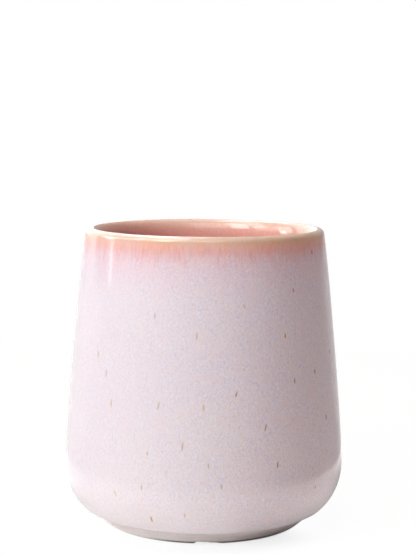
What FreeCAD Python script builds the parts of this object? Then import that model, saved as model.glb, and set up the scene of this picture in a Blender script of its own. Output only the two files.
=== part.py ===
import FreeCAD
import Part
import os
from math import cos, radians, sin

from FreeCAD import Vector

# A glazed stoneware tumbler that stands on a bare foot ring.
# Every piece is turned about +Z. The origin is the centre of the foot's contact plane.
# All sizes are in millimetres, and the visible surfaces are the glazed ones.

# Body
overall_height = 105.0
belly_radius = 50.1          # widest place of the outside
belly_height = 21.0
rim_inset = 9.6              # how far the lip's highest line stands in from the belly
lip_radius = 2.1             # outer round of the lip
throat_drop = 6.8            # the lip's inner round is longer, down to the narrowest place
throat_inset = 2.75          # how far that place stands in from the lip's highest line
belly_wall_thickness = 4.5   # glazed wall at the widest place
inner_corner_radius = 14.0   # between the inside wall and the inside floor
floor_thickness = 5.6        # glazed floor over the foot recess

# Foot
foot_inset = 14.4            # how far the foot stands in from the belly
foot_ring_width = 5.2
foot_edge_radius = 0.5
recess_depth = 2.6
recess_flare = 1.4           # how far the recess opens from its ceiling to the contact plane

# Drain notch across the front of the foot ring, steep on one side and long on the other
notch_depth = 0.85
notch_steep_run = 2.2
notch_long_run = 9.0
notch_offset = 2.0           # how far its deepest line lies from the front, towards -X

# Glaze
glaze_thickness = 0.6
glaze_line_inset = 6.9       # where the outer coat ends on the clay, in from the belly
glaze_line_height = 6.4
glaze_roll_thickness = 0.9   # the outer coat thickens towards its rounded lower edge
rim_band_outside = 4.2       # how far the rim coat comes down outside
rim_band_inside = 2.6        # and inside
underside_glaze_thickness = 0.5

# Shape of the outline
lip_lean = 8.0               # degrees that the wall leans outward just below the lip
belly_lean = 43.0            # degrees above the horizontal at the glaze line
wall_handle_shares = (0.21, 0.13)
belly_handle_shares = (0.36, 0.40)
inner_lip_handle_shares = (0.62, 0.59)
inner_wall_handle_shares = (0.12, 0.13)

# One overrun serves every cut
overrun = 3.0

rim_radius = belly_radius - rim_inset
lip_centre = Vector(rim_radius, 0, overall_height - lip_radius)
throat_radius = rim_radius - throat_inset
throat_height = overall_height - throat_drop
inner_radius = belly_radius - belly_wall_thickness
glaze_line = Vector(belly_radius - glaze_line_inset, 0, glaze_line_height)
floor_height = recess_depth + floor_thickness
foot_outer_radius = belly_radius - foot_inset
foot_inner_radius = foot_outer_radius - foot_ring_width
recess_radius = foot_inner_radius - recess_flare
origin = Vector(0, 0, 0)
up = Vector(0, 0, 1)


def direction(degrees):
    """Unit vector in the section plane, measured upward from the +X axis."""
    return Vector(cos(radians(degrees)), 0, sin(radians(degrees)))


def curve(start, start_handle, end_handle, end):
    bezier = Part.BezierCurve()
    bezier.setPoles([start, start_handle, end_handle, end])
    return bezier.toShape()


def line(start, end):
    return Part.makeLine(start, end)


def arc(start, middle, end):
    return Part.Arc(start, middle, end).toShape()


def section(edges):
    """A flat face in the X-Z plane from edges in any order."""
    return Part.Face(Part.Wire(Part.sortEdges(edges)[0]))


def turned(face):
    return face.revolve(origin, up, 360)


# Each outline lies at a depth below the visible surface: none for a coat, the glaze's for the clay.

def lip_point(degrees, depth):
    return lip_centre + direction(degrees) * (lip_radius - depth)


def throat(depth):
    """The narrowest place of the inside, where the lip's inner round ends."""
    return Vector(throat_radius + depth, 0, throat_height)


def lip(depth):
    """From the outside wall over the lip's highest line and down its inner round."""
    crown = lip_point(90, depth)
    across, along = inner_lip_handle_shares
    outer_round = arc(lip_point(lip_lean, depth), lip_point((lip_lean + 90) / 2, depth), crown)
    crown_handle = crown - direction(0) * (across * throat_inset - depth)
    throat_handle = throat(depth) + up * (along * throat_drop)
    return [outer_round, curve(crown, crown_handle, throat_handle, throat(depth))]


def wall_curve(start, lean, shares, end):
    """A wall that starts with an outward lean and falls to the place where it is upright."""
    drop = start.z - end.z
    near, far = shares
    return curve(start, start + direction(lean - 90) * (near * drop), end + up * (far * drop), end)


def belly_curve(start, end):
    drop = start.z - end.z
    near, far = belly_handle_shares
    return curve(start, start - up * (near * drop), end + direction(belly_lean) * (far * drop), end)


def outside(depth, end):
    """From the lip down the wall and round the belly to a point near the glaze line."""
    belly = Vector(belly_radius - depth, 0, belly_height)
    wall = wall_curve(lip_point(lip_lean, depth), lip_lean, wall_handle_shares, belly)
    return [wall, belly_curve(belly, end)]


def inside(depth):
    """From the narrowest place down the wall, round the corner and along the floor to the axis."""
    centre = Vector(inner_radius - inner_corner_radius, 0, floor_height + inner_corner_radius)
    radius = inner_corner_radius + depth
    corner_top = centre + direction(0) * radius
    corner_end = centre - up * radius
    corner = arc(corner_top, centre + direction(-45) * radius, corner_end)
    wall = wall_curve(throat(depth), 0, inner_wall_handle_shares, corner_top)
    return [wall, corner, line(corner_end, Vector(0, 0, corner_end.z))]


# Clay

def clay_body():
    foot_inner = Vector(foot_inner_radius, 0, 0)
    foot_outer = Vector(foot_outer_radius, 0, 0)
    recess_corner = Vector(recess_radius, 0, recess_depth)
    recess_centre = Vector(0, 0, recess_depth)
    foot = [
        line(recess_centre, recess_corner),
        line(recess_corner, foot_inner),
        line(foot_inner, foot_outer),
        line(foot_outer, glaze_line),
    ]
    axis = line(Vector(0, 0, floor_height - glaze_thickness), recess_centre)
    wall = [*outside(glaze_thickness, glaze_line), *lip(glaze_thickness), *inside(glaze_thickness)]
    return eased_foot(turned(section([*foot, *wall, axis]))).cut(drain_notch())


def eased_foot(body):
    contact_edges = [edge for edge in body.Edges if edge.BoundBox.ZMax < foot_edge_radius]
    return body.makeFillet(foot_edge_radius, contact_edges)


def drain_notch():
    """A shallow saw-tooth groove that crosses the ring at its front, along -Y."""
    start_y = overrun - recess_radius
    length = foot_outer_radius - recess_radius + 2 * overrun
    deepest = Vector(-notch_offset, start_y, notch_depth)
    steep_foot = Vector(deepest.x - notch_steep_run, start_y, 0)
    long_foot = Vector(deepest.x + notch_long_run, start_y, 0)
    below = up * overrun
    corners = [steep_foot - below, steep_foot, deepest, long_foot, long_foot - below]
    profile = Part.Face(Part.makePolygon([*corners, corners[0]]))
    return profile.extrude(Vector(0, -length, 0))


# Coats. One section runs from the roll over the lip to the middle of the inside floor.

def whole_coat():
    roll_crest = glaze_line + direction(belly_lean - 90) * glaze_roll_thickness
    roll_middle = (glaze_line + roll_crest) * 0.5
    roll_foot = roll_middle - direction(belly_lean) * (glaze_roll_thickness / 2)
    roll = arc(roll_crest, roll_foot, glaze_line)
    surface = [*outside(0, roll_crest), *lip(0), *inside(0)]
    clay = [*outside(glaze_thickness, glaze_line), *lip(glaze_thickness), *inside(glaze_thickness)]
    axis = line(Vector(0, 0, floor_height), Vector(0, 0, floor_height - glaze_thickness))
    return section([*surface, roll, *clay, axis])


def rim_band():
    """The part of the section plane that the rim coat takes, lower outside the lip than inside."""
    outer_bottom = overall_height - rim_band_outside
    inner_bottom = overall_height - rim_band_inside
    top = overall_height + overrun
    width = belly_radius + overrun
    corners = [
        Vector(0, 0, inner_bottom),
        Vector(rim_radius, 0, inner_bottom),
        Vector(rim_radius, 0, outer_bottom),
        Vector(width, 0, outer_bottom),
        Vector(width, 0, top),
        Vector(0, 0, top),
    ]
    return Part.Face(Part.makePolygon([*corners, corners[0]]))


def wall_coats():
    """The rim's, the liner's and the outer coat, which meet face to face."""
    coat = whole_coat()
    band = rim_band()
    rim = coat.common(band).Faces[0]
    liner, outer = sorted(coat.cut(band).Faces, key=lambda face: face.BoundBox.XMin)
    return turned(rim), turned(liner), turned(outer)


def underside_glaze():
    """A thin coat on the recess's ceiling, out to the recess's flaring side."""
    bottom = recess_depth - underside_glaze_thickness
    bottom_radius = recess_radius + recess_flare * underside_glaze_thickness / recess_depth
    centre = Vector(0, 0, bottom)
    return Part.makeCone(bottom_radius, recess_radius, underside_glaze_thickness, centre, up)


def save(name, shape):
    shape.exportStep(f"parts/{name}.step")
    box = shape.BoundBox
    sizes = f"{box.XLength:.2f} x {box.YLength:.2f} x {box.ZLength:.2f} mm"
    print(f"{name}: {len(shape.Solids)} solid, valid {shape.isValid()}, {shape.Volume:.1f} mm3, {sizes}")


os.makedirs("parts", exist_ok=True)
rim_glaze, liner_glaze, outer_glaze = wall_coats()
save("clay_body", clay_body())
save("outer_glaze", outer_glaze)
save("rim_glaze", rim_glaze)
save("liner_glaze", liner_glaze)
save("underside_glaze", underside_glaze())
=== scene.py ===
import math
import random

import bpy
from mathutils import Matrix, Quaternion, Vector, noise
from mathutils.geometry import interpolate_bezier


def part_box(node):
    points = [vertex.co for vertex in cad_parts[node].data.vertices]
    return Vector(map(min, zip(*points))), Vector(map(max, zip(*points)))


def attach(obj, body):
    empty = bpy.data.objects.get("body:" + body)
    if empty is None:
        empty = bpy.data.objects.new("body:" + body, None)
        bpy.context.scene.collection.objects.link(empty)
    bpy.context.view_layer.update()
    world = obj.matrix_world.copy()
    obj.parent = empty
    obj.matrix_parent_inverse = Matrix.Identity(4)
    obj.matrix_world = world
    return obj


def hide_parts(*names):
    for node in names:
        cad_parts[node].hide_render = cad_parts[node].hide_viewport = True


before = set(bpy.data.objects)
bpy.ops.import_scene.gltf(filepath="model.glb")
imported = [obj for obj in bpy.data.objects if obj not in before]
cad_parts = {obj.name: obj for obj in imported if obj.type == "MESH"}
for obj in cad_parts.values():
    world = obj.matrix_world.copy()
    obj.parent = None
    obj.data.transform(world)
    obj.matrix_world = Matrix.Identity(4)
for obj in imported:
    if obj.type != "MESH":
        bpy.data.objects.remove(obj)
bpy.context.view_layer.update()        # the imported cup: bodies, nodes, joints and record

# A glazed stoneware tumbler. Lengths are in metres, +Z is up the cup's axis and -Y is its front.
# The cup and its coats are turned on one lathe function from profiles of (radius, height) points,
# and the iron specks lie on the outer coat.
mm = 0.001
samePlace = 1e-7         # points closer than this are one

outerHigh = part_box("outer_glaze")[1]
rimLow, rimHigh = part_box("rim_glaze")
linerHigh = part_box("liner_glaze")[1]
undersideLow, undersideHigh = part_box("underside_glaze")


# Form of the cup

cupForm = {
    "height": rimHigh.z,
    "bellyRadius": outerHigh.x,
    "bellyHeight": 21.0 * mm,
    "lipRadius": 2.1 * mm,           # outer round of the lip
    "lipInset": 9.6 * mm,            # its highest line, in from the belly
    "throatDrop": 6.8 * mm,          # the inner round is longer, down to the narrowest place
    "throatInset": 2.75 * mm,        # in from the highest line
    "bellyWall": 4.5 * mm,
    "cornerRadius": 14.0 * mm,       # inside, between wall and floor
    "floorHeight": 8.2 * mm,
    "glaze": 0.6 * mm,               # coat over the clay
    "glazeLineInset": 6.9 * mm,      # where the outer coat ends, in from the belly
    "glazeLineHeight": 6.4 * mm,
    "rollThickness": 0.9 * mm,       # the coat's rounded lower edge
    "footInset": 14.4 * mm,
    "footRingWidth": 5.2 * mm,
    "footEdge": 0.5 * mm,
    "recessDepth": undersideHigh.z,
    "recessFlare": 1.4 * mm,
    "lipLean": 8.0,                  # degrees
    "bellyLean": 43.0,
    "wallHandles": (0.21, 0.13),     # shares of the drop
    "bellyHandles": (0.36, 0.40),
    "innerLipHandles": (0.62, 0.59),     # shares of the throat's inset and drop
    "innerWallHandles": (0.12, 0.13),
    "outsideSeam": rimLow.z,         # rim coat meets outer coat
    "insideSeam": linerHigh.z,       # rim coat meets liner
    "step": 0.8 * mm,                # between rings
    "lipRings": 9,                   # over the outer round
    "throatRings": 21,               # and down the inner one
}

lipCentre = Vector((cupForm["bellyRadius"] - cupForm["lipInset"], cupForm["height"] - cupForm["lipRadius"]))
innerRadius = cupForm["bellyRadius"] - cupForm["bellyWall"]
glazeLine = Vector((cupForm["bellyRadius"] - cupForm["glazeLineInset"], cupForm["glazeLineHeight"]))
footOuter = cupForm["bellyRadius"] - cupForm["footInset"]
footInner = footOuter - cupForm["footRingWidth"]
recessRadius = footInner - cupForm["recessFlare"]
upward = Vector((0, 1))


def heading(degrees):
    return Vector((math.cos(math.radians(degrees)), math.sin(math.radians(degrees))))


def stepsFor(length):
    return max(2, math.ceil(length / cupForm["step"]))


def straight(start, end, count=None):
    count = count or stepsFor((end - start).length)
    return [start.lerp(end, i / count) for i in range(count + 1)]


def bend(start, startHandle, endHandle, end, count=None):
    count = count or stepsFor((end - start).length)
    return interpolate_bezier(start, startHandle, endHandle, end, count + 1)


def roundTo(centre, radius, fromDegrees, toDegrees, count=None):
    count = count or stepsFor(math.radians(abs(toDegrees - fromDegrees)) * radius)
    sweep = toDegrees - fromDegrees
    return [centre + heading(fromDegrees + sweep * i / count) * radius for i in range(count + 1)]


def joined(*lines):
    points = []
    for line in lines:
        for point in line:
            if not points or (point - points[-1]).length > samePlace:
                points.append(point)
    return points


# depth is how far below the glazed surface a line runs
def lipPoint(degrees, depth):
    return lipCentre + heading(degrees) * (cupForm["lipRadius"] - depth)


def throat(depth):
    return lipCentre + Vector((depth - cupForm["throatInset"], cupForm["lipRadius"] - cupForm["throatDrop"]))


def wallLine(start, lean, shares, end):
    drop = start.y - end.y
    near, far = shares
    return bend(start, start + heading(lean - 90) * (near * drop), end + upward * (far * drop), end)


def outsideLine(depth, end):
    lean = cupForm["lipLean"]
    belly = Vector((cupForm["bellyRadius"] - depth, cupForm["bellyHeight"]))
    drop = belly.y - end.y
    near, far = cupForm["bellyHandles"]
    lowHandle = end + heading(cupForm["bellyLean"]) * (far * drop)
    under = bend(belly, belly - upward * (near * drop), lowHandle, end)
    return joined(wallLine(lipPoint(lean, depth), lean, cupForm["wallHandles"], belly), under)


def lipLine(depth):
    crown = lipPoint(90, depth)
    across, along = cupForm["innerLipHandles"]
    outerRound = roundTo(lipCentre, cupForm["lipRadius"] - depth, cupForm["lipLean"], 90, cupForm["lipRings"])
    crownHandle = crown - Vector((across * cupForm["throatInset"] - depth, 0))
    throatHandle = throat(depth) + upward * (along * cupForm["throatDrop"])
    innerRound = bend(crown, crownHandle, throatHandle, throat(depth), cupForm["throatRings"])
    return joined(outerRound, innerRound)


def insideLine(depth):
    radius = cupForm["cornerRadius"] + depth
    centre = Vector((innerRadius - cupForm["cornerRadius"], cupForm["floorHeight"] + cupForm["cornerRadius"]))
    corner = roundTo(centre, radius, 0, -90)
    wall = wallLine(throat(depth), 0, cupForm["innerWallHandles"], corner[0])
    return joined(wall, corner, straight(corner[-1], Vector((0, corner[-1].y))))


# the part of a falling line above or below a height, with a point exactly on it
def splitAt(line, height):
    for i, (above, below) in enumerate(zip(line, line[1:])):
        if above.y >= height > below.y:
            point = above.lerp(below, (above.y - height) / (above.y - below.y))
            return joined(line[:i + 1], [point]), joined([point], line[i + 1:])
    raise ValueError("the line never crosses that height")


rollCrest = glazeLine + heading(cupForm["bellyLean"] - 90) * cupForm["rollThickness"]
outsideTop, outsideBody = splitAt(outsideLine(0, rollCrest), cupForm["outsideSeam"])
hiddenTop, hiddenBody = splitAt(outsideLine(cupForm["glaze"], glazeLine), cupForm["outsideSeam"])
lipTop, insideBody = splitAt(joined(lipLine(0), insideLine(0)), cupForm["insideSeam"])
hiddenLip = joined(lipLine(cupForm["glaze"]), insideLine(cupForm["glaze"]))
hiddenLipTop, hiddenInsideBody = splitAt(hiddenLip, cupForm["insideSeam"])
print(f"profiles: {len(outsideBody)} points down the outside, {len(insideBody)} down the inside")


# Lathe

lathe = {
    "segments": 400,
    "sharpAngle": 40.0,              # degrees, from which an edge stays crisp
}

glazeSurface = {
    "clearance": 0.02 * mm,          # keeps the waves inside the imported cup
    "swell": 0.05 * mm,              # slow waves from the throwing
    "swellLength": 26 * mm,
    "ripple": 0.012 * mm,            # short ones from the fired glaze
    "rippleLength": 5 * mm,
}


# slow noise from 0 to 1
def wave(place):
    return 0.5 + 0.5 * noise.noise(place)


def surfaceDip(place):
    swell = glazeSurface["swell"] * wave(place / glazeSurface["swellLength"])
    ripple = glazeSurface["ripple"] * wave(place / glazeSurface["rippleLength"])
    return glazeSurface["clearance"] + swell + ripple


# a profile's points are (position, outward normal), and one with a normal sinks by the glaze's waves;
# flip is 1 or -1, whichever turns the normals outward
def waved(line, flip):
    profile = []
    for i, point in enumerate(line):
        along = (line[min(i + 1, len(line) - 1)] - line[max(i - 1, 0)]).normalized()
        profile.append((point, Vector((along.y, -along.x)) * flip))
    return profile


def plain(line):
    return [(point, None) for point in line]


# a (radius, height) vector at an angle round the axis, from the front towards +X
def inSpace(flat, angle):
    return Vector((math.sin(angle), -math.cos(angle), 0)) * flat.x + Vector((0, 0, flat.y))


def turnedPoint(point, normal, angle, slide):
    place = inSpace(point, angle)
    if normal is not None:
        place -= inSpace(normal, angle) * surfaceDip(place)
    if slide:
        place += inSpace(slide(point, angle), angle)
    return place


# a ring on the axis is one point, so its faces are triangles
def facesBetween(upper, lower):
    faces = []
    for i in range(len(upper)):
        j = (i + 1) % len(upper)
        corners = [upper[i], lower[i], lower[j], upper[j]]
        face = [corner for k, corner in enumerate(corners) if corner != corners[k - 1]]
        if len(face) > 2:
            faces.append(face)
    return faces


# slide moves each point by a (radius, height) vector of its own
def turnedPiece(name, profile, segments=lathe["segments"], slide=None):
    vertices = []
    rings = []
    for point, normal in profile:
        first = len(vertices)
        count = 1 if point.x < samePlace else segments
        for i in range(count):
            vertices.append(turnedPoint(point, normal, math.tau * i / segments, slide))
        rings.append([first + i % count for i in range(segments)])
    faces = []
    for upper, lower in zip(rings, rings[1:] + rings[:1]):
        faces += facesBetween(upper, lower)
    mesh = bpy.data.meshes.new(name)
    mesh.from_pydata(vertices, [], faces)
    mesh.validate()
    mesh.set_sharp_from_angle(angle=math.radians(lathe["sharpAngle"]))
    return linked(name, mesh)


def linked(name, data):
    made = bpy.data.objects.new(name, data)
    bpy.context.scene.collection.objects.link(made)
    return made


# gives a piece its material and its body, and hides the imported node that it stands for
def install(piece, material, node=None):
    piece.data.materials.append(material)
    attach(piece, "root")
    if node:
        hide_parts(node)
    print(f"{piece.name}: {len(piece.data.vertices)} points, {len(piece.data.polygons)} faces")


# Nodes that every material is made of

plainWhite = (1, 1, 1, 1)


# a screen colour, 0 to 255, as Blender's linear one
def linear(red, green, blue):
    shares = [channel / 255 for channel in (red, green, blue)]
    return tuple(s / 12.92 if s <= 0.04045 else ((s + 0.055) / 1.055) ** 2.4 for s in shares) + (1.0,)


def startMaterial(name):
    material = bpy.data.materials.new(name)
    material.use_nodes = True
    tree = material.node_tree
    return material, tree, tree.nodes["Principled BSDF"]


def addNode(tree, kind, inputs=None, **settings):
    made = tree.nodes.new(kind)
    for key, value in settings.items():
        setattr(made, key, value)
    for key, value in (inputs or {}).items():
        connect(tree, value, made.inputs[key])
    return made


# a socket takes a link from another one, or a plain value
def connect(tree, value, socket):
    if isinstance(value, bpy.types.NodeSocket):
        tree.links.new(value, socket)
    else:
        socket.default_value = value


def maths(tree, operation, first, second=0.0, third=0.0):
    return addNode(tree, "ShaderNodeMath", {0: first, 1: second, 2: third}, operation=operation).outputs[0]


def vectorMaths(tree, operation, first, second=(0, 0, 0), output="Vector"):
    return addNode(tree, "ShaderNodeVectorMath", {0: first, 1: second}, operation=operation).outputs[output]


def position(tree):
    return addNode(tree, "ShaderNodeTexCoord").outputs["Object"]


def coordinate(tree, place, axis):
    return addNode(tree, "ShaderNodeSeparateXYZ", {0: place}).outputs[axis]


# distance from the axis, or from another line when place is moved first
def radiusOf(tree, place, stretch=(1, 1, 0)):
    flat = vectorMaths(tree, "MULTIPLY", place, stretch)
    return vectorMaths(tree, "LENGTH", flat, output="Value")


# noise of a grain size, pulled out upward by a factor
def grain(tree, place, size, stretch=1.0, detail=2.0, roughness=0.5, offset=0.0):
    scaled = addNode(tree, "ShaderNodeMapping", {
        "Vector": place,
        "Location": (offset, offset, offset),
        "Scale": (1 / size, 1 / size, 1 / (size * stretch)),
    }).outputs[0]
    return addNode(tree, "ShaderNodeTexNoise", {
        "Vector": scaled, "Scale": 1.0, "Detail": detail, "Roughness": roughness,
    }).outputs["Fac"]


# stretches a value from low..high to newLow..newHigh, smoothly at the ends
def between(tree, value, low, high, newLow=0.0, newHigh=1.0, smooth=True):
    kind = "SMOOTHSTEP" if smooth else "LINEAR"
    return addNode(tree, "ShaderNodeMapRange", {
        "Value": value, "From Min": low, "From Max": high, "To Min": newLow, "To Max": newHigh,
    }, interpolation_type=kind).outputs[0]


# from one value to another by a share
def partWay(tree, share, first, second):
    return maths(tree, "MULTIPLY_ADD", maths(tree, "SUBTRACT", second, first), share, first)


# colour by height: stops are (height, colour), lowest first
def colourByHeight(tree, height, stops):
    low = stops[0][0]
    high = stops[-1][0]
    ramp = addNode(tree, "ShaderNodeValToRGB", {0: between(tree, height, low, high, smooth=False)})
    elements = ramp.color_ramp.elements
    while len(elements) < len(stops):
        elements.new(0.5)            # its real place follows
    for element, (stopHeight, colour) in zip(elements, stops):
        element.position = (stopHeight - low) / (high - low)
        element.color = linear(*colour)
    return ramp.outputs["Color"]


def blended(tree, share, first, second):
    made = addNode(tree, "ShaderNodeMix", data_type="RGBA", clamp_factor=True)
    for index, value in ((0, share), (6, first), (7, second)):
        connect(tree, value, made.inputs[index])
    return made.outputs[2]


# lays a tint over a colour wherever a value is in the tint's range
def tinted(tree, value, colour, tint, strength=None):
    share = between(tree, value, *tint["range"])
    if strength:
        share = maths(tree, "MULTIPLY", share, strength)
    return blended(tree, share, colour, linear(*tint["colour"]))


# Colours of the outside

# each grain is a noise, and a tint lies where its noise is in the range: from and to, and the
# strength at each
outerPaint = {
    "stops": [
        (5 * mm, (221, 211, 212)),
        (22 * mm, (228, 215, 219)),
        (84 * mm, (227, 212, 218)),
        (90 * mm, (228, 207, 215)),
        (95.5 * mm, (229, 197, 205)),
        (98 * mm, (231, 184, 187)),
        (99.8 * mm, (233, 168, 160)),
        (101.8 * mm, (236, 167, 141)),
        (103 * mm, (227, 172, 136)),
        (104 * mm, (224, 186, 152)),
        (104.8 * mm, (226, 198, 174)),
    ],
    "run": {"size": 1.6 * mm, "stretch": 9.0, "detail": 3},
    "runLength": 4.2 * mm,           # how far the colours run down the wall
    "runTop": 103 * mm,              # the lip itself stays even
    "runFade": 6 * mm,
    "cloud": {"size": 17 * mm, "stretch": 1.6, "offset": 3.0},
    "cloudTint": {"range": (0.35, 0.65, 0.0, 0.25), "colour": (222, 209, 222)},
    "patch": {"size": 4.0 * mm, "stretch": 1.4, "detail": 3, "offset": 17.0},
    "coolTint": {"range": (0.5, 0.68, 0.0, 0.22), "colour": (216, 211, 224)},
    "rosyTint": {"range": (0.5, 0.32, 0.0, 0.22), "colour": (231, 206, 212)},
    "mottle": {"size": 0.54 * mm, "stretch": 1.5, "roughness": 0.7},
    "paleTint": {"range": (0.5, 0.72, 0.0, 0.55), "colour": (240, 232, 233)},
    "darkTint": {"range": (0.5, 0.30, 0.0, 0.5), "colour": (208, 184, 196)},
    "flock": {"size": 1.9 * mm, "stretch": 1.5, "offset": 7.0},
    "warmTint": {"range": (0.5, 0.68, 0.0, 0.24), "colour": (236, 212, 203)},
    "calm": (101 * mm, 96 * mm, 0.3, 1.0),   # all these but the cloud fade towards the lip
    "litSideFade": (-35 * mm, 40 * mm, 0.75, 1.3),     # and, as painted light, are fainter on the lit left than on the shaded right
    "patchy": (0.35, 0.65, 0.8, 1.2),        # the mottle is stronger in some patches
    "streak": {"size": 0.8 * mm, "stretch": 14, "offset": 13.0},     # where the glaze runs under the lip
    "streakRise": (93.5 * mm, 98 * mm),
    "streakFall": (103 * mm, 101 * mm),
    "streakDark": {"range": (0.5, 0.32, 0.0, 0.30), "colour": (214, 150, 138)},
    "streakPale": {"range": (0.5, 0.68, 0.0, 0.22), "colour": (238, 200, 190)},
    "freckleSize": 1.5 * mm,
    "freckleSquash": (1, 1, 0.45),   # they are longer than wide
    "freckleCore": (0.20, 0.08),     # where one fades out and is full, in shares of their spacing
    "freckleChoice": (0.74, 0.95, 0.0, 0.6),     # few of them show, some more than others
    "freckle": (226, 184, 160),
}


# how far the glaze's runs carry the colours up or down the wall
def runShift(tree, place, paint):
    evenly = maths(tree, "SUBTRACT", grain(tree, place, **paint["run"]), 0.5)
    return maths(tree, "MULTIPLY", evenly, paint["runLength"])


def outsideColour(tree, place):
    height = coordinate(tree, place, "Z")
    reach = between(tree, height, outerPaint["runTop"], outerPaint["runTop"] - outerPaint["runFade"])
    height = maths(tree, "MULTIPLY_ADD", runShift(tree, place, outerPaint), reach, height)
    colour = colourByHeight(tree, height, outerPaint["stops"])
    colour = tinted(tree, grain(tree, place, **outerPaint["cloud"]), colour, outerPaint["cloudTint"])
    calm = between(tree, height, *outerPaint["calm"])
    # painted light: the tints fade on the lit left, where the gloss washes them out, and grow on the shaded
    # right
    side = between(tree, coordinate(tree, place, "X"), *outerPaint["litSideFade"])
    strength = maths(tree, "MULTIPLY", calm, side)
    patch = grain(tree, place, **outerPaint["patch"])
    colour = tinted(tree, patch, colour, outerPaint["coolTint"], strength)
    colour = tinted(tree, patch, colour, outerPaint["rosyTint"], strength)
    mottle = grain(tree, place, **outerPaint["mottle"])
    patchy = maths(tree, "MULTIPLY", between(tree, patch, *outerPaint["patchy"]), strength)
    colour = tinted(tree, mottle, colour, outerPaint["paleTint"], patchy)
    colour = tinted(tree, mottle, colour, outerPaint["darkTint"], patchy)
    colour = tinted(tree, grain(tree, place, **outerPaint["flock"]), colour, outerPaint["warmTint"], strength)
    return streaked(tree, place, height, colour)


def streaked(tree, place, height, colour):
    rise = between(tree, height, *outerPaint["streakRise"])
    band = maths(tree, "MULTIPLY", rise, between(tree, height, *outerPaint["streakFall"]))
    streak = grain(tree, place, **outerPaint["streak"])
    colour = tinted(tree, streak, colour, outerPaint["streakDark"], band)
    return tinted(tree, streak, colour, outerPaint["streakPale"], band)


def freckled(tree, place, colour):
    cells = addNode(tree, "ShaderNodeTexVoronoi", {
        "Vector": vectorMaths(tree, "MULTIPLY", place, outerPaint["freckleSquash"]),
        "Scale": 1 / outerPaint["freckleSize"],
        "Randomness": 1.0,
    }).outputs
    core = between(tree, cells["Distance"], *outerPaint["freckleCore"])
    pick = addNode(tree, "ShaderNodeSeparateColor", {0: cells["Color"]}).outputs[0]
    share = maths(tree, "MULTIPLY", core, between(tree, pick, *outerPaint["freckleChoice"]))
    return blended(tree, share, colour, linear(*outerPaint["freckle"]))


# Colours of the inside

innerPaint = {
    "stops": [
        (8 * mm, (230, 190, 192)),
        (22 * mm, (234, 186, 184)),
        (94 * mm, (240, 180, 174)),
        (98 * mm, (244, 172, 162)),
        (100 * mm, (244, 173, 158)),
        (101.6 * mm, (243, 184, 166)),
        (103 * mm, (242, 196, 176)),
        (104.4 * mm, (240, 206, 188)),
        (105 * mm, (236, 206, 190)),
    ],
    "run": {"size": 1.6 * mm, "stretch": 9.0, "detail": 3, "offset": 5.0},
    "runLength": 2.0 * mm,
    "mottle": {"size": 0.7 * mm, "stretch": 1.4, "roughness": 0.7, "offset": 2.0},
    "paleTint": {"range": (0.5, 0.72, 0.0, 0.3), "colour": (246, 216, 208)},
    "darkTint": {"range": (0.5, 0.3, 0.0, 0.3), "colour": (214, 160, 158)},
}


def insideColour(tree, place):
    height = maths(tree, "ADD", coordinate(tree, place, "Z"), runShift(tree, place, innerPaint))
    colour = colourByHeight(tree, height, innerPaint["stops"])
    mottle = grain(tree, place, **innerPaint["mottle"])
    colour = tinted(tree, mottle, colour, innerPaint["paleTint"])
    return tinted(tree, mottle, colour, innerPaint["darkTint"])


# Finish of every glazed surface

glazeFinish = {
    "patch": {"size": 6 * mm, "offset": 11.0},
    "patchGloss": (0.3, 0.7, 0.05, 0.10),    # the patches' noise, then roughness at each end of it
    "ior": 1.52,
    "peel": {"size": 1.1 * mm, "detail": 1, "offset": 4.0},      # fine orange peel
    "peelDepth": 0.006 * mm,
}


def relief(tree, shader, height, depth):
    bump = addNode(tree, "ShaderNodeBump", {"Height": height, "Distance": depth, "Strength": 1.0})
    connect(tree, bump.outputs["Normal"], shader.inputs["Normal"])


def finishGlaze(tree, shader, place, colour):
    patch = grain(tree, place, **glazeFinish["patch"])
    connect(tree, colour, shader.inputs["Base Color"])
    connect(tree, between(tree, patch, *glazeFinish["patchGloss"]), shader.inputs["Roughness"])
    shader.inputs["IOR"].default_value = glazeFinish["ior"]
    relief(tree, shader, grain(tree, place, **glazeFinish["peel"]), glazeFinish["peelDepth"])


# Clay body with its bare foot

clayBody = {
    "segments": 720,
    "edgeRings": 4,                  # round each edge of the contact ring
    "edgeHandle": 0.55,              # share of the way to the corner
    "footRings": 14,                 # across the contact ring
    "bevelRings": 26,                # from the foot up to the glaze line
    "notchDepth": 0.85 * mm,         # drain notch, steep on its left and long on its right
    "notchSteep": 2.2 * mm,
    "notchLong": 9.0 * mm,
    "notchOffset": 2.0 * mm,
    "bare": (232, 221, 220),
    "cloud": {"size": 8 * mm, "detail": 3, "offset": 6.0},
    "warmTint": {"range": (0.35, 0.65), "colour": (226, 212, 207)},
    "grit": {"size": 0.35 * mm, "detail": 3, "roughness": 0.7},
    "gritTint": {"range": (0.52, 0.30, 0.0, 0.6), "colour": (192, 177, 175)},
    "gritRoughness": (0.3, 0.7, 0.72, 0.92),
    "turning": {"size": 0.55 * mm, "detail": 3, "roughness": 0.6},   # marks of the trimming tool
    "turningTint": {"range": (0.6, 0.35, 0.0, 0.35), "colour": (192, 177, 175)},
    "turningShare": 0.6,             # of the relief, beside the grit
    "reliefDepth": 0.05 * mm,
    "contactShade": (70, 60, 58),           # painted contact shadow: darker where it stands, more so on the right, away from the light
    "contactShadeHeight": (1.1 * mm, 0.25 * mm, 0.0, 0.95),
    "contactShadeAcross": (-20 * mm, -7 * mm, 0.2, 1.0),
    "contactShadeEdge": (1.6 * mm, 0.5 * mm),   # only at the ring's outer edge
}


def notchHeight(x):
    across = x + clayBody["notchOffset"]
    run = clayBody["notchLong"] if across > 0 else clayBody["notchSteep"]
    return clayBody["notchDepth"] * (1 - abs(across) / run)


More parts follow.
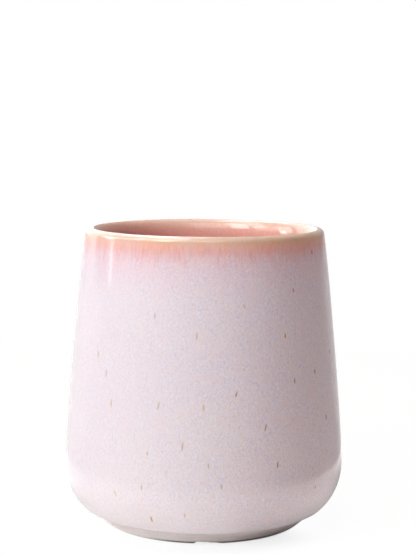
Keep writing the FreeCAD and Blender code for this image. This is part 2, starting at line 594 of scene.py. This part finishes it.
def cutNotch(piece):
    for vertex in piece.data.vertices:
        place = vertex.co
        if place.y < 0 and place.x ** 2 + place.y ** 2 < glazeLine.x ** 2:
            if place.z < clayBody["notchDepth"]:
                place.z = max(place.z, notchHeight(place.x))


def eased(before, corner, after, radius):
    into = (before - corner).normalized()
    out = (after - corner).normalized()
    reach = radius / math.tan(into.angle(out) / 2)
    start = corner + into * reach
    end = corner + out * reach
    share = clayBody["edgeHandle"]
    return bend(start, start.lerp(corner, share), end.lerp(corner, share), end, clayBody["edgeRings"])


def buildClayBody():
    recessCentre = Vector((0, cupForm["recessDepth"]))
    recessCorner = Vector((recessRadius, cupForm["recessDepth"]))
    inner = Vector((footInner, 0))
    outer = Vector((footOuter, 0))
    innerEdge = eased(recessCorner, inner, outer, cupForm["footEdge"])
    outerEdge = eased(inner, outer, glazeLine, cupForm["footEdge"])
    profile = joined(
        lipLine(cupForm["glaze"]),
        insideLine(cupForm["glaze"]),
        straight(recessCentre, recessCorner),
        straight(recessCorner, innerEdge[0]),
        innerEdge,
        straight(innerEdge[-1], outerEdge[0], clayBody["footRings"]),
        outerEdge,
        straight(outerEdge[-1], glazeLine, clayBody["bevelRings"]),
        reversed(outsideLine(cupForm["glaze"], glazeLine)),
    )
    # the profile ends where it starts, so its last point is left out
    piece = turnedPiece("clay_cup", plain(profile[:-1]), segments=clayBody["segments"])
    cutNotch(piece)
    piece.data.flip_normals()
    return piece


# painted contact shadow: the bare clay darkens low down at the ring's outer edge, more so on the right
def contactShadeOf(tree, place, height, radius):
    low = between(tree, height, *clayBody["contactShadeHeight"])
    side = between(tree, coordinate(tree, place, "X"), *clayBody["contactShadeAcross"])
    edgeFrom, edgeTo = clayBody["contactShadeEdge"]
    edge = between(tree, radius, footOuter - edgeFrom, footOuter - edgeTo)
    return maths(tree, "MULTIPLY", maths(tree, "MULTIPLY", low, side), edge)


def bareClayMaterial():
    material, tree, shader = startMaterial("bare turned stoneware")
    place = position(tree)
    height = coordinate(tree, place, "Z")
    radius = radiusOf(tree, place)
    ring = addNode(tree, "ShaderNodeCombineXYZ", {"X": radius, "Y": 0.0, "Z": height}).outputs[0]
    turning = grain(tree, ring, **clayBody["turning"])
    grit = grain(tree, place, **clayBody["grit"])
    cloud = grain(tree, place, **clayBody["cloud"])
    colour = tinted(tree, cloud, linear(*clayBody["bare"]), clayBody["warmTint"])
    colour = tinted(tree, grit, colour, clayBody["gritTint"])
    colour = tinted(tree, turning, colour, clayBody["turningTint"])
    # the painted contact shadow is laid over the bare clay's colour
    contactShade = contactShadeOf(tree, place, height, radius)
    connect(tree, blended(tree, contactShade, colour, linear(*clayBody["contactShade"])), shader.inputs["Base Color"])
    connect(tree, between(tree, grit, *clayBody["gritRoughness"]), shader.inputs["Roughness"])
    rough = maths(tree, "MULTIPLY_ADD", turning, clayBody["turningShare"], grit)
    relief(tree, shader, rough, clayBody["reliefDepth"])
    return material


install(buildClayBody(), bareClayMaterial(), "clay_body")


# Outer coat, from the rim coat's seam down to its rolled edge

outerCoat = {
    "rollRings": 10,
    "wander": 0.30 * mm,             # how unevenly its lower edge runs
    "wanderReach": 9 * mm,           # how far up that is felt
    "wanderScale": 2.4,              # larger for shorter waves round the cup
    "wanderSlice": 0.3,              # another number gives another edge
}


def lineWander(point, angle):
    share = max(0.0, 1 - max(0.0, point.y - glazeLine.y) / outerCoat["wanderReach"])
    around = Vector((math.sin(angle), -math.cos(angle), outerCoat["wanderSlice"])) * outerCoat["wanderScale"]
    return heading(cupForm["bellyLean"]) * (outerCoat["wander"] * share * share * wave(around))


def buildOuterCoat():
    middle = (glazeLine + rollCrest) / 2
    crestDegrees = cupForm["bellyLean"] - 90
    radius = cupForm["rollThickness"] / 2
    roll = roundTo(middle, radius, crestDegrees, crestDegrees - 180, outerCoat["rollRings"])
    profile = waved(outsideBody, -1) + plain(roll[1:-1]) + plain(reversed(hiddenBody))
    return turnedPiece("outer_coat", profile, slide=lineWander)


def outerGlazeMaterial():
    material, tree, shader = startMaterial("lilac reactive glaze")
    place = position(tree)
    finishGlaze(tree, shader, place, freckled(tree, place, outsideColour(tree, place)))
    return material


install(buildOuterCoat(), outerGlazeMaterial(), "outer_glaze")


# Rim coat, over the lip

rimCoat = {
    "change": 1.0 * mm,              # how far across the lip the outside colours turn into the inside ones
}


def buildRimCoat():
    over = joined(reversed(outsideTop), lipTop)
    under = joined(reversed(hiddenLipTop), hiddenTop)
    piece = turnedPiece("rim_coat", waved(over, 1) + plain(under))
    piece.data.flip_normals()
    return piece


def rimGlazeMaterial():
    material, tree, shader = startMaterial("cream and amber rim glaze")
    place = position(tree)
    half = rimCoat["change"] / 2
    inward = between(tree, radiusOf(tree, place), lipCentre.x + half, lipCentre.x - half)
    colour = blended(tree, inward, outsideColour(tree, place), insideColour(tree, place))
    finishGlaze(tree, shader, place, colour)
    return material


install(buildRimCoat(), rimGlazeMaterial(), "rim_glaze")


# Liner, down the inside wall and over the floor

def buildLinerCoat():
    piece = turnedPiece("liner_coat", waved(insideBody, 1) + plain(reversed(hiddenInsideBody)))
    piece.data.flip_normals()
    return piece


def linerGlazeMaterial():
    material, tree, shader = startMaterial("rose liner glaze")
    place = position(tree)
    finishGlaze(tree, shader, place, insideColour(tree, place))
    return material


install(buildLinerCoat(), linerGlazeMaterial(), "liner_glaze")


# Thin coat on the recess's ceiling

undersideCoat = {
    "thickness": undersideHigh.z - undersideLow.z,
    "edge": 0.2 * mm,
    "segments": 200,
    "rings": 12,                     # on its hidden side
    "thin": {"size": 7 * mm, "detail": 3, "offset": 9.0},
    "thinTint": {"range": (0.35, 0.7, 0.0, 0.6), "colour": (214, 196, 188)},     # the clay shows through
}


def buildUndersideCoat():
    bottom = undersideLow.z
    top = undersideHigh.z
    edge = undersideCoat["edge"]
    bottomRadius = recessRadius + cupForm["recessFlare"] * undersideCoat["thickness"] / cupForm["recessDepth"]
    under = straight(Vector((0, bottom)), Vector((bottomRadius - edge, bottom)))
    side = [Vector((bottomRadius, bottom + edge))]
    over = straight(Vector((recessRadius, top)), Vector((0, top)), undersideCoat["rings"])
    return turnedPiece("underside_coat", plain(joined(under, side, over)), segments=undersideCoat["segments"])


def undersideGlazeMaterial():
    material, tree, shader = startMaterial("thin lilac underside glaze")
    place = position(tree)
    thin = grain(tree, place, **undersideCoat["thin"])
    colour = tinted(tree, thin, outsideColour(tree, place), undersideCoat["thinTint"])
    finishGlaze(tree, shader, place, colour)
    return material


install(buildUndersideCoat(), undersideGlazeMaterial(), "underside_glaze")


# Iron specks that bloomed through the outer glaze

ironSpecks = {
    "width": 0.74 * mm,
    "taper": 0.8,                    # smaller for blunter ends
    "tipWidth": 0.04 * mm,
    "proud": 0.012 * mm,             # how far the middle stands out of the coat
    "edgeProud": 0.3,                # share of that at the edge
    "coreGain": 1.6,                 # larger for a wider dark core
    "columns": 5,
    "rows": 9,
    "ochre": (190, 148, 104),
    "pale": (206, 182, 164),
    "rust": (166, 112, 88),
    # azimuth from the front towards +X in degrees, height and length in mm, lean in degrees, tone
    "front": [
        (-21, 79.0, 2.3, 0, "pale"), (-3, 72.7, 3.0, 0, "pale"), (-50, 63.9, 3.1, 0, "pale"),
        (58, 98.5, 2.0, -4, "rust"), (42, 86.6, 1.8, 8, "ochre"), (17, 82.5, 1.4, 25, "pale"),
        (36, 71.8, 2.1, 0, "ochre"), (69, 63.0, 2.4, 12, "rust"), (-44, 58.1, 3.4, 0, "pale"),
        (-40, 48.5, 3.1, 0, "pale"), (-18, 49.5, 3.1, -14, "pale"), (0, 49.4, 2.8, 0, "pale"),
        (-8, 36.6, 3.8, -6, "pale"), (-22, 33.5, 1.7, 0, "pale"), (-24, 21.9, 2.4, 0, "pale"),
        (2, 30.4, 2.1, 0, "pale"), (53, 58.2, 2.1, 0, "rust"), (40, 56.4, 2.4, -4, "ochre"),
        (13, 53.6, 2.1, -16, "ochre"), (25, 42.1, 2.9, -14, "ochre"), (60, 41.6, 2.3, 0, "rust"),
        (30, 29.3, 2.8, -5, "ochre"), (7, 23.4, 2.1, 3, "pale"), (50, 18.7, 1.4, -8, "ochre"),
        (59, 30.0, 1.4, 0, "pale"), (-36, 18.4, 2.8, 20, "pale"), (-7, 13.3, 2.1, 0, "pale"),
        (-21, 10.7, 2.8, 4, "ochre"),
    ],
    # those at the back are scattered within these
    "backCount": 46,
    "backSeed": 11,
    "backAzimuth": (86, 274),
    "backHeight": (10, 98),
    "backLength": (1.4, 3.2),
    "backLean": (-15, 15),
    "backTones": ["ochre", "ochre", "pale", "rust"],
}


# a point of the outside and its normal
def outsideAt(height):
    for above, below in zip(outsideBody, outsideBody[1:]):
        if above.y >= height >= below.y:
            share = (above.y - height) / (above.y - below.y)
            along = (below - above).normalized()
            return above.lerp(below, share), Vector((-along.y, along.x))
    return outsideBody[-1], heading(cupForm["bellyLean"] - 90)


def coatPoint(azimuth, height, lift):
    point, normal = outsideAt(height)
    place = inSpace(point, azimuth)
    place += inSpace(normal, azimuth) * (lift - surfaceDip(place))
    return place + inSpace(lineWander(point, azimuth), azimuth)


def allSpecks():
    dice = random.Random(ironSpecks["backSeed"])
    specks = list(ironSpecks["front"])
    for _ in range(ironSpecks["backCount"]):
        azimuth = dice.uniform(*ironSpecks["backAzimuth"])
        height = dice.uniform(*ironSpecks["backHeight"])
        tone = dice.choice(ironSpecks["backTones"])
        length = dice.uniform(*ironSpecks["backLength"])
        lean = dice.uniform(*ironSpecks["backLean"])
        specks.append((azimuth, height, length, lean, tone))
    return specks


# a speck's points, row by row, each with how far it is core, from 0 to 1
def speckPoints(degrees, height, length, lean):
    radius = outsideAt(height * mm)[0].x
    slope = math.tan(math.radians(lean))
    points = []
    for row in range(ironSpecks["rows"] + 1):
        along = 2 * row / ironSpecks["rows"] - 1
        endward = max(0.0, 1 - along * along)
        halfWidth = ironSpecks["width"] / 2 * math.sqrt(endward) ** ironSpecks["taper"]
        halfWidth = max(halfWidth, ironSpecks["tipWidth"] / 2)
        for column in range(ironSpecks["columns"] + 1):
            across = 2 * column / ironSpecks["columns"] - 1
            core = endward * max(0.0, 1 - across * across)
            sideways = across * halfWidth - along * length * mm / 2 * slope
            azimuth = math.radians(degrees) + sideways / radius
            lift = ironSpecks["proud"] * (ironSpecks["edgeProud"] + core)
            points.append((coatPoint(azimuth, (height + along * length / 2) * mm, lift), core))
    return points


def buildSpecks():
    vertices = []
    faces = []
    cores = []
    tones = []
    wide = ironSpecks["columns"] + 1
    for degrees, height, length, lean, tone in allSpecks():
        first = len(vertices)
        for place, core in speckPoints(degrees, height, length, lean):
            vertices.append(place)
            cores.append(min(1.0, ironSpecks["coreGain"] * core))
            tones.extend(linear(*ironSpecks[tone]))
        for row in range(ironSpecks["rows"]):
            for column in range(ironSpecks["columns"]):
                corner = first + row * wide + column
                faces.append([corner, corner + 1, corner + wide + 1, corner + wide])
    mesh = bpy.data.meshes.new("iron_specks")
    mesh.from_pydata(vertices, [], faces)
    mesh.attributes.new("core", "FLOAT", "POINT").data.foreach_set("value", cores)
    mesh.attributes.new("tone", "FLOAT_COLOR", "POINT").data.foreach_set("color", tones)
    mesh.shade_smooth()
    return linked("iron_specks", mesh)


def speckMaterial():
    material, tree, shader = startMaterial("iron specks in the glaze")
    place = position(tree)
    core = addNode(tree, "ShaderNodeAttribute", attribute_name="core").outputs["Fac"]
    tone = addNode(tree, "ShaderNodeAttribute", attribute_name="tone").outputs["Color"]
    finishGlaze(tree, shader, place, blended(tree, core, outsideColour(tree, place), tone))
    return material


install(buildSpecks(), speckMaterial())


# Room: white to the camera, dim in the cup's gloss, and a soft fill for the rest

room = {
    "fillLevel": 0.105,
    "fillColour": (1.0, 0.74, 0.80, 1.0),
    "gloss": 0.50,                   # how bright the dim room is in reflections
    # walls by degrees round from the front towards +X, how soft their ends are, and how bright
    # the wall itself, the far table before it and the near table are
    "walls": [
        {"middle": 208.0, "half": 28.0, "soft": 0.015, "world": 2.2, "far": 1.15, "table": 1.05},
        {"middle": 246.0, "half": 10.0, "soft": 0.015, "world": 0.45, "far": 1.0, "table": 1.05},
        {"middle": 158.0, "half": 22.0, "soft": 0.06, "world": 0.50, "far": 0.40, "table": 0.75},
    ],
}


# 1 towards a wall and 0 elsewhere, for a direction or a place on the table
def towardsWall(tree, way, wall):
    middle = math.radians(wall["middle"])
    axis = (math.sin(middle), -math.cos(middle), 0)
    level = vectorMaths(tree, "NORMALIZE", vectorMaths(tree, "MULTIPLY", way, (1, 1, 0)))
    cosine = vectorMaths(tree, "DOT_PRODUCT", level, axis, output="Value")
    edge = math.cos(math.radians(wall["half"]))
    return between(tree, cosine, edge - wall["soft"], edge + wall["soft"])


# how bright the world or the table is in the cup's gloss
def mirroredLevel(tree, way, kind):
    level = room["gloss"]
    for wall in room["walls"]:
        level = maths(tree, "MULTIPLY_ADD", towardsWall(tree, way, wall), wall[kind] - room["gloss"], level)
    return level


def emission(tree, strength):
    return addNode(tree, "ShaderNodeEmission", {"Color": plainWhite, "Strength": strength}).outputs[0]


def background(tree, colour, strength):
    return addNode(tree, "ShaderNodeBackground", {"Color": colour, "Strength": strength}).outputs[0]


def diffuse(tree, level):
    return addNode(tree, "ShaderNodeBsdfDiffuse", {"Color": (level, level, level, 1)}).outputs[0]


def added(tree, first, second):
    return addNode(tree, "ShaderNodeAddShader", {0: first, 1: second}).outputs[0]


def mixed(tree, share, first, second):
    return addNode(tree, "ShaderNodeMixShader", {0: share, 1: first, 2: second}).outputs[0]


# one shader for the camera, one for rays off glossy or through clear surfaces, and one for the rest
def byRay(tree, seen, mirrored, rest):
    path = addNode(tree, "ShaderNodeLightPath").outputs
    glossy = maths(tree, "MAXIMUM", path["Is Glossy Ray"], path["Is Transmission Ray"])
    return mixed(tree, path["Is Camera Ray"], mixed(tree, glossy, rest, mirrored), seen)


def buildWorld():
    world = bpy.data.worlds.new("white studio")
    bpy.context.scene.world = world
    world.use_nodes = True
    tree = world.node_tree
    tree.nodes.clear()
    way = addNode(tree, "ShaderNodeTexCoord").outputs["Generated"]
    seen = background(tree, plainWhite, 1.0)
    mirrored = background(tree, plainWhite, mirroredLevel(tree, way, "world"))
    fill = background(tree, room["fillColour"], room["fillLevel"])
    addNode(tree, "ShaderNodeOutputWorld", {0: byRay(tree, seen, mirrored, fill)})
    print(f"room: fill light {room['fillLevel']}, {len(room['walls'])} walls in the gloss")


# White table

tableTop = {
    "half": 12.0,
    "gap": 0.02 * mm,                # keeps it just clear of the foot
    # what the camera sees of it
    "glow": 0.76,                    # without any light on it
    "paint": 0.30,                   # and what it takes from the lamps
    "fade": (0.16, 0.42),            # how far out it turns plain white
    "shade": {                       # the shadow that stays is in front of the foot
        "middle": (4 * mm, -30 * mm, 0),
        "stretch": (1, 1.8, 0),
        "fade": (16 * mm, 40 * mm),
        "faded": 0.88,               # how far it is gone outside this oval
    },
    "contactDark": (-0.3 * mm, 1.0 * mm),    # it darkens here, from the foot's outer edge
    "notchLight": 2.2 * mm,          # how far light comes in under the foot's notch
    "notchFront": 1 * mm,            # the notch counts from this far in front of the axis
    # what it throws back on the cup
    "white": 0.86,
    "lift": 0.12,
    "footLift": (-45 * mm, 30 * mm, 0.36, 0.0),  # instead, close to the foot, from its left to its right
    "footLiftReach": (58 * mm, 40 * mm),
    "rightGlow": {                   # it is lighter in front on the right
        "middle": (85 * mm, -45 * mm, 0),
        "stretch": (1, 1, 0),
        "fade": (20 * mm, 60 * mm),
        "level": 0.22,
    },
    # how bright it is in the cup's gloss
    "far": (1.5, 5.0),               # between these it turns from near to far
    "trayRadius": 0.132,             # the bright part round the cup
    "traySoft": 6 * mm,
    "trayGloss": 1.45,
    "dimSides": [                    # where the cup itself shades that part
        {"middle": 95.0, "half": 75.0, "soft": 0.2, "level": 0.45, "reach": (0.066, 0.044)},
        {"middle": 290.0, "half": 50.0, "soft": 0.1, "level": 0.85, "reach": (0.080, 0.050)},
    ],
    "castShade": {                   # and where its shadow falls, behind on the right
        "middle": (33 * mm, 44 * mm, 0),
        "stretch": (1, 1, 0),
        "fade": (34 * mm, 84 * mm),
        "level": 0.5,
    },
}


# 1 where the notch lifts the front of the foot off the table
def underNotch(tree, place):
    across = coordinate(tree, place, "X")
    deepest = -clayBody["notchOffset"]
    opening = between(tree, across, deepest - clayBody["notchSteep"] / 2, deepest)
    closing = between(tree, across, deepest + clayBody["notchLong"], deepest + clayBody["notchLong"] / 2)
    front = between(tree, coordinate(tree, place, "Y"), 0.0, -tableTop["notchFront"])
    return maths(tree, "MULTIPLY", maths(tree, "MULTIPLY", opening, closing), front)


# 0 in the middle of an oval on the table and 1 outside it
def outsideOval(tree, place, oval):
    moved = vectorMaths(tree, "SUBTRACT", place, oval["middle"])
    return between(tree, radiusOf(tree, moved, oval["stretch"]), *oval["fade"])


def seenTable(tree, place, distance):
    darkFrom, darkTo = tableTop["contactDark"]
    reach = maths(tree, "MULTIPLY_ADD", underNotch(tree, place), tableTop["notchLight"], distance)
    glow = between(tree, reach, footOuter + darkFrom, footOuter + darkTo, 0.0, tableTop["glow"])
    near = added(tree, emission(tree, glow), diffuse(tree, tableTop["paint"]))
    shade = maths(tree, "MULTIPLY", outsideOval(tree, place, tableTop["shade"]), tableTop["shade"]["faded"])
    fade = maths(tree, "MAXIMUM", shade, between(tree, distance, *tableTop["fade"]))
    return mixed(tree, fade, near, emission(tree, 1.0))


def liftOf(tree, place, distance):
    foot = between(tree, coordinate(tree, place, "X"), *tableTop["footLift"])
    lift = partWay(tree, between(tree, distance, *tableTop["footLiftReach"]), tableTop["lift"], foot)
    glow = tableTop["rightGlow"]
    inside = maths(tree, "SUBTRACT", 1.0, outsideOval(tree, place, glow))
    return maths(tree, "MULTIPLY_ADD", inside, glow["level"], lift)


def mirroredTable(tree, place, distance):
    near = mirroredLevel(tree, place, "table")
    far = mirroredLevel(tree, place, "far")
    level = partWay(tree, between(tree, distance, *tableTop["far"], smooth=False), near, far)
    edgeTo = tableTop["trayRadius"] + tableTop["traySoft"]
    edgeFrom = tableTop["trayRadius"] - tableTop["traySoft"]
    tray = between(tree, distance, edgeTo, edgeFrom, 0.0, tableTop["trayGloss"])
    level = maths(tree, "MAXIMUM", tray, level)
    for dim in tableTop["dimSides"]:
        share = maths(tree, "MULTIPLY", towardsWall(tree, place, dim), between(tree, distance, *dim["reach"]))
        level = partWay(tree, share, level, dim["level"])
    cast = tableTop["castShade"]
    return partWay(tree, outsideOval(tree, place, cast), cast["level"], level)


def tableMaterial():
    material = bpy.data.materials.new("white table")
    material.use_nodes = True
    tree = material.node_tree
    tree.nodes.clear()
    place = position(tree)
    distance = radiusOf(tree, place)
    seen = seenTable(tree, place, distance)
    mirrored = emission(tree, mirroredTable(tree, place, distance))
    real = added(tree, diffuse(tree, tableTop["white"]), emission(tree, liftOf(tree, place, distance)))
    above = byRay(tree, seen, mirrored, real)
    # clear from below, so that the underside can be looked at
    below = addNode(tree, "ShaderNodeBsdfTransparent").outputs[0]
    backfacing = addNode(tree, "ShaderNodeNewGeometry").outputs["Backfacing"]
    addNode(tree, "ShaderNodeOutputMaterial", {0: mixed(tree, backfacing, above, below)})
    return material


def buildTable():
    half = tableTop["half"]
    low = -tableTop["gap"]
    mesh = bpy.data.meshes.new("table_top")
    corners = [(-half, -half, low), (half, -half, low), (half, half, low), (-half, half, low)]
    mesh.from_pydata(corners, [], [[0, 1, 2, 3]])
    mesh.materials.append(tableMaterial())
    linked("table_top", mesh)
    print(f"table: {2 * half} m across")


# Lamps

lampAim = (0, 0, 0.05)   # what a lamp faces, unless it has an aim of its own

# the first two light the cup, and the others only show in its gloss; lean turns a lamp in its own
# plane, in degrees
lamps = {
    "key_softbox": {"place": (-0.83, -0.70, 0.56), "size": (0.6, 0.5), "power": 10.9,
                    "colour": (0.86, 0.98, 1.0), "rays": "diffuse"},
    "top_softbox": {"place": (-0.12, 0.0, 1.25), "size": (0.5, 0.5), "power": 9.4,
                    "colour": (1.0, 0.83, 0.76), "rays": "diffuse"},
    "top_panel": {"place": (-0.35, 0.30, 1.05), "size": (0.40, 1.4), "power": 10.0, "aim": (-0.35, 0.30, 0)},
    "left_panel": {"place": (-0.93, 0.24, 0.40), "size": (0.36, 0.34), "power": 1.6},
    "left_window": {"place": (-0.98, -0.19, 0.48), "size": (0.69, 0.33), "power": 1.5},
    "left_neck": {"place": (-0.975, 0.094, 0.175), "size": (0.09, 0.05), "power": 0.04},
    "left_throat": {"place": (-0.98, 0.18, 0.26), "size": (0.15, 0.12), "power": 0.40},
    "left_strip": {"place": (-0.997, 0.078, 0.140), "size": (0.045, 0.085), "power": 0.036, "lean": 66.0},
    "side_panel": {"place": (-0.75, -0.303, 0.69), "size": (0.28, 0.55), "power": 2.4},
    "lip_panel": {"place": (-0.60, -0.65, 0.70), "size": (0.38, 0.55), "power": 6.0},
    "front_panel": {"place": (-0.08, -0.85, 0.68), "size": (0.75, 0.55), "power": 3.0},
}


def buildLamp(name, settings):
    light = bpy.data.lights.new(name, "AREA")
    light.shape = "RECTANGLE"
    light.size, light.size_y = settings["size"]
    light.energy = settings["power"]
    light.color = settings.get("colour", (1, 1, 1))
    lamp = linked(name, light)
    lamp.location = settings["place"]
    aim = Vector(settings.get("aim", lampAim)) - Vector(settings["place"])
    lean = Quaternion((0, 0, 1), math.radians(settings.get("lean", 0)))
    lamp.rotation_euler = (aim.to_track_quat("-Z", "Y") @ lean).to_euler()
    lamp.visible_diffuse = settings.get("rays") == "diffuse"
    lamp.visible_glossy = settings.get("rays") != "diffuse"
    print(f"{name}: {settings['power']} W")


# Camera, at the photograph's place

cameraSetup = {
    "place": (0.00078, -0.5021, 0.1448),
    "lookDown": 6.58,                # degrees
    "roll": -0.42,
    "lens": 91.5,                    # both in mm, as Blender takes them
    "sensorWidth": 36.0,
    "clipStart": 0.01,
}


def buildCamera():
    data = bpy.data.cameras.new("camera")
    data.lens = cameraSetup["lens"]
    data.sensor_width = cameraSetup["sensorWidth"]
    data.clip_start = cameraSetup["clipStart"]
    camera = linked("camera", data)
    camera.location = cameraSetup["place"]
    tilt = math.radians(90 - cameraSetup["lookDown"])
    camera.rotation_euler = (tilt, math.radians(cameraSetup["roll"]), 0)
    print(f"camera: {cameraSetup['lens']} mm lens, looking down {cameraSetup['lookDown']} degrees")
    return camera


buildTable()
buildWorld()
for lampName, lampSettings in lamps.items():
    buildLamp(lampName, lampSettings)
bpy.context.scene.camera = buildCamera()
bpy.context.scene.view_settings.view_transform = "Standard"
bpy.context.view_layer.update()
